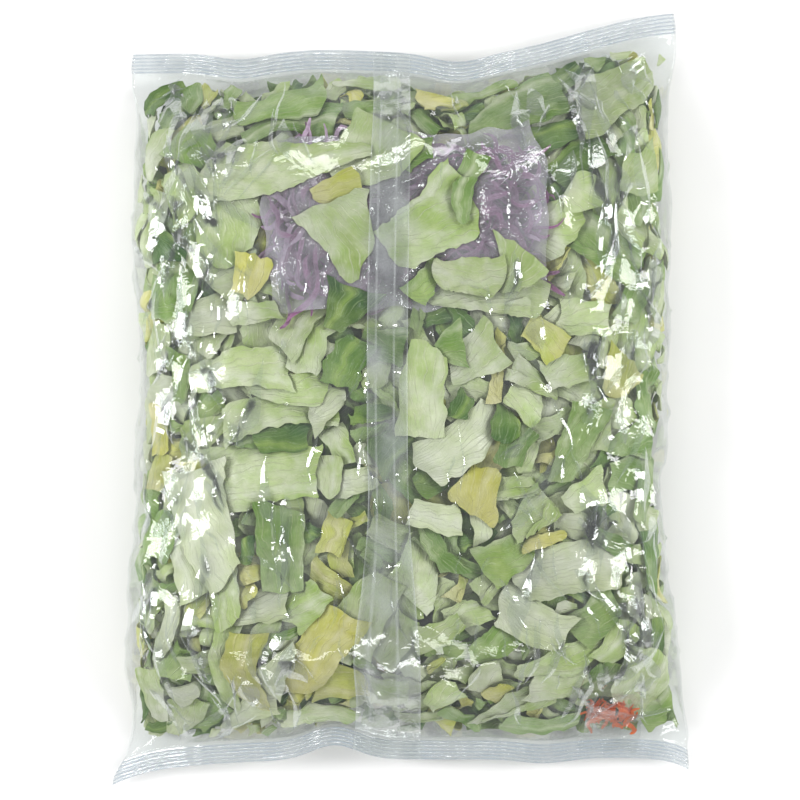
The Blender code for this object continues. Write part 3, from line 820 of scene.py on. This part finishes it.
    (-150, -18, 28, 13.3, 170, "heart", -0.2), (-151, -43, 24, 13.3, 20, "heart", 0.1),
    (-151, 30, 30, 14.5, 20, "iceberg", 0.0), (157, -97, 36, 12.1, 5, "romaine", 0.0),
    (162, -146, 27, 9.7, 170, "romaine", -0.1), (151, -61, 28, 13.3, 20, "green", 0.3),
]
CABBAGE_AT, CARROT_AT = (3, 112), (129, -201)


def lay_shown(only=None):
    for n, (x, y, length, width, angle, kind, shade) in enumerate(SHOWN):
        over_pouch = -95 < x < 92 and 50 < y < 172
        if only is not None and over_pouch != only:
            continue
        a, b = seen(x, y)
        make_leaf(kind, a, b, length * MM * 1.04, width * MM * 1.10, angle, 1000 + 7 * n, step=0.0025,
                  shade=shade, curl=0.8)


def scatter(count, span_a, span_b, sizes, step, kinds, seed, want, tries=14, curl=1.0, least=0.0045):
    """Fills in with more leaves wherever fewer than `want` lie on each other."""
    r = np.random.default_rng(seed)
    names, odds = list(kinds), np.array(list(kinds.values()), float)
    odds /= odds.sum()
    done = 0
    for n in range(count):
        best = None
        for _ in range(tries):
            a, b = r.uniform(*span_a), r.uniform(*span_b)
            if cell(ROOM, np.array(a), np.array(b)) < least:
                continue
            c = float(cell(COVER, np.array(a), np.array(b))) + r.uniform(0, 0.3)
            if best is None or c < best[0]:
                best = (c, a, b)
        if best is None or best[0] >= want:
            continue
        kind = names[int(r.choice(len(names), p=odds))]
        length = r.uniform(*sizes) * MM
        width = length * r.uniform(0.38, 0.80)
        angle = r.uniform(0, 180)
        for shrink in (1.0, 0.7, 0.5):
            if make_leaf(kind, best[1], best[2], length * shrink, width * shrink, angle,
                         seed * 1000 + n, step=step, curl=curl, test=True):
                done += 1
                break
    return done


MIX = {"iceberg": 0.33, "rib": 0.10, "green": 0.27, "romaine": 0.17, "heart": 0.13}
MIX_SHOWN = {"iceberg": 0.36, "rib": 0.14, "green": 0.29, "romaine": 0.10, "heart": 0.11}
lay_shown(True)

ca, cb = seen(*CABBAGE_AT)
pouch = pouch_sheet("cabbage_pouch", ca, cb, 0.168, 0.108, -3, 501, MAT_POUCH, "film")
shreds = Sheets("cabbage_shreds")
r = np.random.default_rng(77)
for n in range(420):
    x, y = r.uniform(-0.074, 0.074), r.uniform(-0.044, 0.044)
    along = 60 + 50 * math.sin(x * 30) + r.uniform(-50, 50)
    tone = PURPLE * r.uniform(0.8, 1.5) if r.uniform() < 0.62 else LILAC * r.uniform(0.75, 1.05)
    shred(shreds, ca + x, cb + y, r.uniform(0.020, 0.056), r.uniform(0.0016, 0.0036), along, 7000 + n, tone)
shreds.build(MAT_CABBAGE, "red_cabbage")

ka, kb = seen(*CARROT_AT)
carrot_pouch = pouch_sheet("carrot_pouch", ka, kb + 0.001, 0.036, 0.036, 8, 601, MAT_POUCH_SMALL, "film", sag=0.0003)
carrots = Sheets("carrot_shreds")
for n in range(320):
    x, y = r.uniform(-0.014, 0.014), r.uniform(-0.015, 0.016)
    shred(carrots, ka + x, kb + y, r.uniform(0.010, 0.022), r.uniform(0.0018, 0.0034), 10 + r.uniform(-60, 60),
          8000 + n, ORANGE * r.uniform(0.8, 1.15), twist=0.5, least=0.0008, thick=0.0006, wavy=0.45)
print("carrot strips", len(carrots.co), "cabbage strips", len(shreds.co))
lay_shown(False)
side = 0.022
for low in (True, False):
    span = (B_IN, B_IN + 0.030) if low else (LEN_B - B_IN - 0.030, LEN_B - B_IN)
    scatter(110, (0.004, HALF_A - 0.004), span, (12, 26), 0.0024, MIX, 31 + low, 2.0, tries=24, least=0.0020)
    scatter(50, (HALF_A, GIRTH), span, (14, 30), 0.0036, MIX, 33 + low, 1.6, tries=24, least=0.0020)
scatter(330, (0.004, HALF_A - 0.004), (B_IN, LEN_B - B_IN), (14, 38), 0.0026, MIX_SHOWN, 20, 1.0, tries=60)
scatter(330, (0.004, HALF_A - 0.004), (0.012, LEN_B - 0.012), (22, 58), 0.0030, MIX_SHOWN, 21, 2.1, tries=20)
scatter(220, (-side, HALF_A + side), (0.012, LEN_B - 0.012), (16, 44), 0.0036, MIX, 22, 2.9, tries=40)
scatter(150, (0.0, HALF_A), (0.015, LEN_B - 0.015), (26, 60), 0.0042, {"romaine": 0.5, "green": 0.35, "iceberg": 0.15}, 23, 4.0, tries=30)
scatter(420, (HALF_A, GIRTH), (0.012, LEN_B - 0.012), (26, 70), 0.0046, MIX, 24, 2.3, tries=20)
print("leaves laid", {k: v.triangles() for k, v in PIECES.items()}, "uncovered", float((COVER[(ROOM > 0.005)] < 1).mean()))
for name, sheets in PIECES.items():
    sheets.build(MATS[name], "leaves")
carrots.build(MAT_CARROT, "carrot")


# ------------------------------------------------------------------ core under the leaves, its dark greens partly painted shade
def ring_mesh(name, a_line, b_line, depth, material, pinch=None):
    """A closed skin round the bag: rings in A, zipped shut at both ends."""
    na, nb = len(a_line), len(b_line)
    a, b = np.meshgrid(a_line, b_line, indexing="ij")
    if pinch is not None:
        middle = np.where(a < HALF_A, 0.5 * HALF_A, 1.5 * HALF_A)
        a = middle + (a - middle) * pinch(b)
    co = place(a, b, depth(a, b)).reshape(-1, 3)
    k = np.arange(na * nb).reshape(na, nb)
    k2 = np.roll(k, -1, 0)
    quads = np.stack([k[:, :-1], k2[:, :-1], k2[:, 1:], k[:, 1:]], -1).reshape(-1, 4)
    half = na // 2
    caps = []
    for j, flip in ((0, False), (nb - 1, True)):
        for i in range(half):
            q = [k[i, j], k[(-i) % na, j], k[(-i - 1) % na, j], k[i + 1, j]]
            caps.append(q[::-1] if flip else q)
    caps = np.array(caps)
    obj = mesh_object(name, co, quads, material)
    return obj, k, caps, a, b


def add_caps(obj, caps):
    import bmesh
    bm = bmesh.new()
    bm.from_mesh(obj.data)
    bm.verts.ensure_lookup_table()
    for q in caps:
        ids = []
        for v in q:
            if v not in ids:
                ids.append(int(v))
        if len(ids) >= 3:
            try:
                bm.faces.new([bm.verts[v] for v in ids]).smooth = True
            except ValueError:
                pass
    bm.normal_update()
    bm.to_mesh(obj.data)
    bm.free()


# Core colour: the inner leaves' own green, darkened as painted shade for the shadowed depth seen in gaps between the
# leaves.
def core_painted_shade_material():
    g = Nodes("leaf_core_painted_shade")
    obj = g.coords()
    big = g.noise(obj, 38.0, 3.0, 0.6, 0.8).outputs["Fac"]
    small = g.noise(obj, 180.0, 3.0, 0.6).outputs["Fac"]
    # The dark end of this green is painted shade for the gaps between leaves; the pale flecks below are the leaves' own
    # colour.
    base = g.mix(g.ramp(big, 0.36, 0.64), rgba(srgb(44, 74, 36)), rgba(srgb(112, 142, 82)))
    base = g.mix(g.ramp(small, 0.45, 0.8, 0, 0.5), base, rgba(srgb(150, 165, 110)))
    bump_ = g.node("ShaderNodeBump", {"Strength": 0.8, "Distance": 0.002, "Height": small})
    p = g.node("ShaderNodeBsdfPrincipled", {"Base Color": base, "Roughness": g.ramp(small, 0.3, 0.7, 0.45, 0.7), "Normal": bump_.outputs[0]})
    return g.finish(p.outputs[0])


def core_depth(a, b):
    room = cell(blur(ROOM.copy(), 4), a, b)
    lump = 0.0006 * (1 + waves(a, b, 0.020, 61)) + 0.0006 * (1 + waves(a, b, 0.009, 62))
    return room + 0.0008 + np.minimum(lump, 0.5 * room)


b_line = np.linspace(0.025, LEN_B - 0.025, 84)
a_line = np.arange(150) * GIRTH / 150
core, _, caps, _, _ = ring_mesh("core", a_line, b_line, core_depth, core_painted_shade_material(),
                                pinch=lambda b: 0.78 + 0.21 * ease(0.024, 0.075, np.minimum(b, LEN_B - b)))
add_caps(core, caps)
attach(core, "root")


# ------------------------------------------------------------------ film
def facets(cell_a, cell_b, seed, lean=0.35):
    """Heights, -1 to 1, that are flat over crooked triangles with sharp creases between them."""
    r = np.random.default_rng(seed)
    na, nb = int(GIRTH / cell_a), int(LEN_B / cell_b) + 2
    da, db = NA / na, (NB - 1) / (nb - 1)
    pi = np.arange(na)[:, None] * da + r.uniform(-0.42, 0.42, (na, nb)) * da + lean * da * (np.arange(nb)[None, :] % 2)
    pj = np.arange(nb)[None, :] * db + r.uniform(-0.42, 0.42, (na, nb)) * db
    h = r.uniform(-1, 1, (na, nb))
    out = np.zeros((NA, NB))
    for i in range(na):
        i2 = (i + 1) % na
        wrap = NA if i2 == 0 else 0
        for j in range(nb - 1):
            p = [(pi[i, j], pj[i, j], h[i, j]), (pi[i2, j] + wrap, pj[i2, j], h[i2, j]),
                 (pi[i2, j + 1] + wrap, pj[i2, j + 1], h[i2, j + 1]), (pi[i, j + 1], pj[i, j + 1], h[i, j + 1])]
            tris = ((0, 1, 2), (0, 2, 3)) if r.uniform() < 0.5 else ((0, 1, 3), (1, 2, 3))
            for t in tris:
                q = np.array([p[v] for v in t])
                lo_i, hi_i = int(np.floor(q[:, 0].min())), int(np.ceil(q[:, 0].max()))
                lo_j, hi_j = max(0, int(np.floor(q[:, 1].min()))), min(NB - 1, int(np.ceil(q[:, 1].max())))
                if hi_j < lo_j:
                    continue
                x, y = np.meshgrid(np.arange(lo_i, hi_i + 1), np.arange(lo_j, hi_j + 1), indexing="ij")
                d = (q[1, 1] - q[2, 1]) * (q[0, 0] - q[2, 0]) + (q[2, 0] - q[1, 0]) * (q[0, 1] - q[2, 1])
                if abs(d) < 1e-9:
                    continue
                w0 = ((q[1, 1] - q[2, 1]) * (x - q[2, 0]) + (q[2, 0] - q[1, 0]) * (y - q[2, 1])) / d
                w1 = ((q[2, 1] - q[0, 1]) * (x - q[2, 0]) + (q[0, 0] - q[2, 0]) * (y - q[2, 1])) / d
                w2 = 1 - w0 - w1
                inside = (w0 > -0.02) & (w1 > -0.02) & (w2 > -0.02)
                out[x[inside] % NA, y[inside]] = (w0 * q[0, 2] + w1 * q[1, 2] + w2 * q[2, 2])[inside]
    return out


ABS_U = np.abs(U_MAP)
SWELL_MAP = swell(T_MAP)
ON_TOP = GA < HALF_A
EDGE_W = ease(0.66, 0.88, ABS_U)
END_W = 1.0 - ease(0.55, 0.97, SWELL_MAP)
LIMIT = 0.42 * THICK * section(np.minimum(ABS_U, 0.995), T_MAP) * SWELL_MAP   # keeps top and bottom apart

hold = np.minimum(SHALLOW - 0.0004, 0.006)
F = np.where(SHALLOW > 0.0299, 0.0016, hold)
F = np.minimum(F, np.maximum(0.0, LIMIT))
FIRM = F.copy()
for n in range(140):
    F = np.minimum(FIRM, blur(F, 1))
crumple = facets(0.0105, 0.030, 31) + 0.6 * facets(0.019, 0.024, 32)
weight = np.clip(0.16 + 1.0 * EDGE_W + 0.55 * END_W, 0, 1.15) * ease(0.0, 0.35, SWELL_MAP)
F = F - weight * (0.0011 + 0.0011 * crumple)
F = np.minimum(F, FIRM)
F = np.where(SWELL_MAP < 0.02, 0.0, F)
GAP_MAP = np.clip((SHALLOW - F - 0.0006) / 0.0042, 0, 1)
GAP_MAP = np.where(SHALLOW > 0.0299, 1.0, GAP_MAP)
GAP_MAP = blur(GAP_MAP, 2)


def smooth_sample(grid, a, b):
    """Value of a 1 mm map at places between its cells."""
    fi, fj = np.mod(a / CELL_A, NA), np.clip(b / CELL_B, 0, NB - 1.001)
    i0, j0 = np.floor(fi).astype(int) % NA, np.floor(fj).astype(int)
    i1, j1 = (i0 + 1) % NA, np.minimum(j0 + 1, NB - 1)
    x, y = fi - np.floor(fi), fj - j0
    return ((grid[i0, j0] * (1 - x) + grid[i1, j0] * x) * (1 - y)
            + (grid[i0, j1] * (1 - x) + grid[i1, j1] * x) * y)


n_a = 364
seal_rows = np.linspace(0, SEAL_WIDTH, 23)
mid_rows = np.linspace(SEAL_WIDTH, LEN_B - SEAL_WIDTH, 196)[1:-1]
film_b = np.concatenate([seal_rows, mid_rows, LEN_B - seal_rows[::-1]])
film_a = np.arange(n_a) * GIRTH / n_a
film, k, caps, fa, fb = ring_mesh("film", film_a, film_b, lambda a, b: smooth_sample(F, a, b), MAT_FILM)
co = np.empty(len(film.data.vertices) * 3, np.float32)
film.data.vertices.foreach_get("co", co)
co = co.reshape(-1, 3)
from_end = np.minimum(fb, LEN_B - fb).ravel()
x, y = co[:, 0], co[:, 1]
in_seal = 1.0 - ease(SEAL_WIDTH - 0.002, SEAL_WIDTH + 0.001, from_end)
crimp = np.sin(2 * math.pi * from_end / 0.0021)
loose = 1.0 - ease(0.004, 0.050, from_end)
wave = waves(x, y * 0.35, 0.034, 91) * 0.0008 + waves(x, y * 0.5, 0.014, 92) * 0.00018
co[:, 2] += in_seal * crimp * 0.00036 + loose * wave * ease(0.0, 0.006, from_end + 0.003)
co[:, 2] = np.maximum(co[:, 2], 0.0003)
film.data.vertices.foreach_set("co", co.ravel())
gap = smooth_sample(GAP_MAP, fa, fb).ravel()
gap = np.maximum(gap, in_seal * (2.8 + 1.5 * crimp))
add_float(film.data, "gap", np.clip(gap, 0, 5.0))
add_caps(film, caps)
film.data.update()
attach(film, "root")
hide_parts("salad_bag")

# ------------------------------------------------------------------ pleats pinched up in the film
def pleat(sheets, a0, b0, length, width, height, angle, seed):
    """A narrow tent of film, pointed at one or both ends."""
    r = np.random.default_rng(seed)
    m = int(np.clip(round(length / 0.0022), 6, 24)) + 1
    t = np.linspace(-1, 1, m)
    one = r.uniform()
    shape = (1 - np.abs(t) ** 1.6) if one < 0.5 else np.clip((1 - t * r.choice([-1, 1])) * 0.5, 0, 1) * (1 - np.abs(t) ** 7)
    shape = np.maximum(shape, 0.04)
    crest = r.uniform(-0.65, 0.65) + 0.25 * np.sin(t * r.uniform(1, 4) + r.uniform(0, 6))
    s = np.array([-1.0, 0.0, 1.0])[:, None]
    across = np.stack([-1 + 0 * t, np.clip(crest, -0.8, 0.8), 1 + 0 * t])
    x = across * 0.5 * width * shape + r.uniform(-0.10, 0.10) * length * (t * t) + 0.0006 * np.sin(t * 5 + seed)
    y = 0.5 * length * t + 0 * s
    up = np.stack([0 * t, height * shape * (1 + 0.3 * np.sin(t * r.uniform(2, 6) + r.uniform(0, 6))), 0 * t])
    c, sn = math.cos(math.radians(angle)), math.sin(math.radians(angle))
    a, b = a0 + x * c + y * sn, b0 - x * sn + y * c
    if b.min() < SEAL_WIDTH or b.max() > LEN_B - SEAL_WIDTH:
        return
    f = smooth_sample(F, a, b) - 0.00012
    sheets.add(a, b, f - up - 0.00010, f - 0.9 * up, np.ones(x.shape + (3,)), np.stack([s + 0 * x, t + 0 * x, 0 * x], -1))


pleats = Sheets("film_pleats")
r = np.random.default_rng(404)
for n in range(300):
    left_side = r.uniform() < 0.56
    inset = r.uniform(0.022, 0.072) if r.uniform() < 0.8 else r.uniform(0.05, 0.12)
    a = inset if left_side else HALF_A - inset
    width = r.uniform(0.0020, 0.0085) if r.uniform() < 0.75 else r.uniform(0.008, 0.014)
    pleat(pleats, a, r.uniform(0.03, LEN_B - 0.03), r.uniform(0.012, 0.050), width, min(0.0018, width * r.uniform(0.08, 0.36)),
          r.normal(0, 26), 9000 + n)
for n in range(70):
    width = r.uniform(0.0014, 0.0030)
    pleat(pleats, r.uniform(0.07, HALF_A - 0.07), r.uniform(0.03, LEN_B - 0.03), r.uniform(0.012, 0.040), width,
          width * r.uniform(0.20, 0.34), r.normal(0, 16), 9500 + n)
pleat_obj = pleats.build(MAT_FILM, "film", sharp=12)
add_float(pleat_obj.data, "gap", np.full(len(pleat_obj.data.vertices), 0.25))

# ------------------------------------------------------------------ long lap seam down the middle
n, m = 40, 236
s, b = np.meshgrid(np.linspace(0, 1, n), np.linspace(0.0005, LEN_B - 0.0005, m), indexing="ij")
tb = b / LEN_B
left = -0.0185 - 0.0105 * (1 - ease(0.12, 0.40, tb)) + 0.0012 * np.sin(tb * 9)
right = 0.0055 + 0.0062 * (1 - ease(0.10, 0.42, tb)) + 0.0010 * np.sin(tb * 7 + 1)
mid_top = sample(SKIN, np.full(m, 0.5 * HALF_A), b[0])[:, 0]
a = 0.5 * HALF_A + (left + (right - left) * s) - mid_top[None, :]
f = smooth_sample(F, a, b)
out = 0.00030 + 0.00022 * np.sin(math.pi * s) + 0.00025 * np.abs(waves(a, b, 0.020, 95)) * np.sin(math.pi * s)
seam = Sheets("seam")
seam.add(a, b, f - out - 0.00012, f - out, np.ones(s.shape + (3,)), np.stack([s, tb, 0 * s], -1))
seam_obj = seam.build(MAT_SEAM, "film")
co = np.empty(len(seam_obj.data.vertices) * 3, np.float32)
seam_obj.data.vertices.foreach_get("co", co)
co = co.reshape(-1, 3)
fe = np.minimum(b, LEN_B - b).ravel()
fe = np.concatenate([fe, fe])
x, y = co[:, 0], co[:, 1]
in_seal = 1.0 - ease(SEAL_WIDTH - 0.002, SEAL_WIDTH + 0.001, fe)
wave = waves(x, y * 0.35, 0.034, 91) * 0.0008 + waves(x, y * 0.5, 0.014, 92) * 0.00018
co[:, 2] += in_seal * np.sin(2 * math.pi * fe / 0.0021) * 0.00036 + (1.0 - ease(0.004, 0.050, fe)) * wave * ease(0.0, 0.006, fe + 0.003)
seam_obj.data.vertices.foreach_set("co", co.ravel())
line = bump(s, 0.22, 0.016) + bump(s, 0.66, 0.016) + 1.1 * bump(s, 0.0, 0.022) + 0.9 * bump(s, 1.0, 0.02)
g = np.clip(0.35 + 0.40 * waves(a, b, 0.028, 97) + 1.3 * line, 0.0, 2.0)
add_float(seam_obj.data, "gap", np.concatenate([g.ravel()] * 2))
seam_obj.data.update()


# ------------------------------------------------------------------ floor, lights, world
def floor_material():
    g = Nodes("floor_pale")
    n = g.noise(g.coords(), 3.0, 2.0).outputs["Fac"]
    base = g.mix(n, (0.90, 0.90, 0.90, 1), (0.92, 0.92, 0.92, 1))
    p = g.node("ShaderNodeBsdfPrincipled", {"Base Color": base, "Roughness": g.ramp(n, 0, 1, 0.85, 0.95), "Specular IOR Level": 0.2})
    return g.finish(p.outputs[0])


floor = mesh_object("floor", np.array([[-6, -6, 0], [6, -6, 0], [6, 6, 0], [-6, 6, 0]], float), np.array([[0, 1, 2, 3]]), floor_material(), smooth=False)


def light(name, loc, aim, size_x, size_y, power, tint=(1, 1, 1)):
    data = bpy.data.lights.new(name, "AREA")
    data.shape, data.size, data.size_y, data.energy, data.color = "RECTANGLE", size_x, size_y, power, tint
    obj = bpy.data.objects.new(name, data)
    obj.location = loc
    obj.rotation_euler = (Vector(aim) - Vector(loc)).to_track_quat("-Z", "Y").to_euler()
    bpy.context.scene.collection.objects.link(obj)


light("left_box", (-1.25, 0.1, 1.0), (0, 0, 0.03), 0.32, 0.95, 17.5)
light("right_box", (1.25, 0.1, 1.0), (0, 0, 0.03), 0.32, 0.95, 15.5)
light("far_box", (0.1, 1.35, 1.05), (0, 0, 0.03), 0.80, 0.20, 5.5)
light("near_box", (-0.1, -1.35, 1.05), (0, 0, 0.03), 0.80, 0.20, 4.5)

world = bpy.data.worlds.new("studio")
world.use_nodes = True
bpy.context.scene.world = world
back = world.node_tree.nodes.get("Background") or world.node_tree.nodes.new("ShaderNodeBackground")
back.inputs[0].default_value = (1.0, 1.0, 1.0, 1.0)
back.inputs[1].default_value = 0.40
scene = bpy.context.scene
scene.view_settings.view_transform = "Standard"
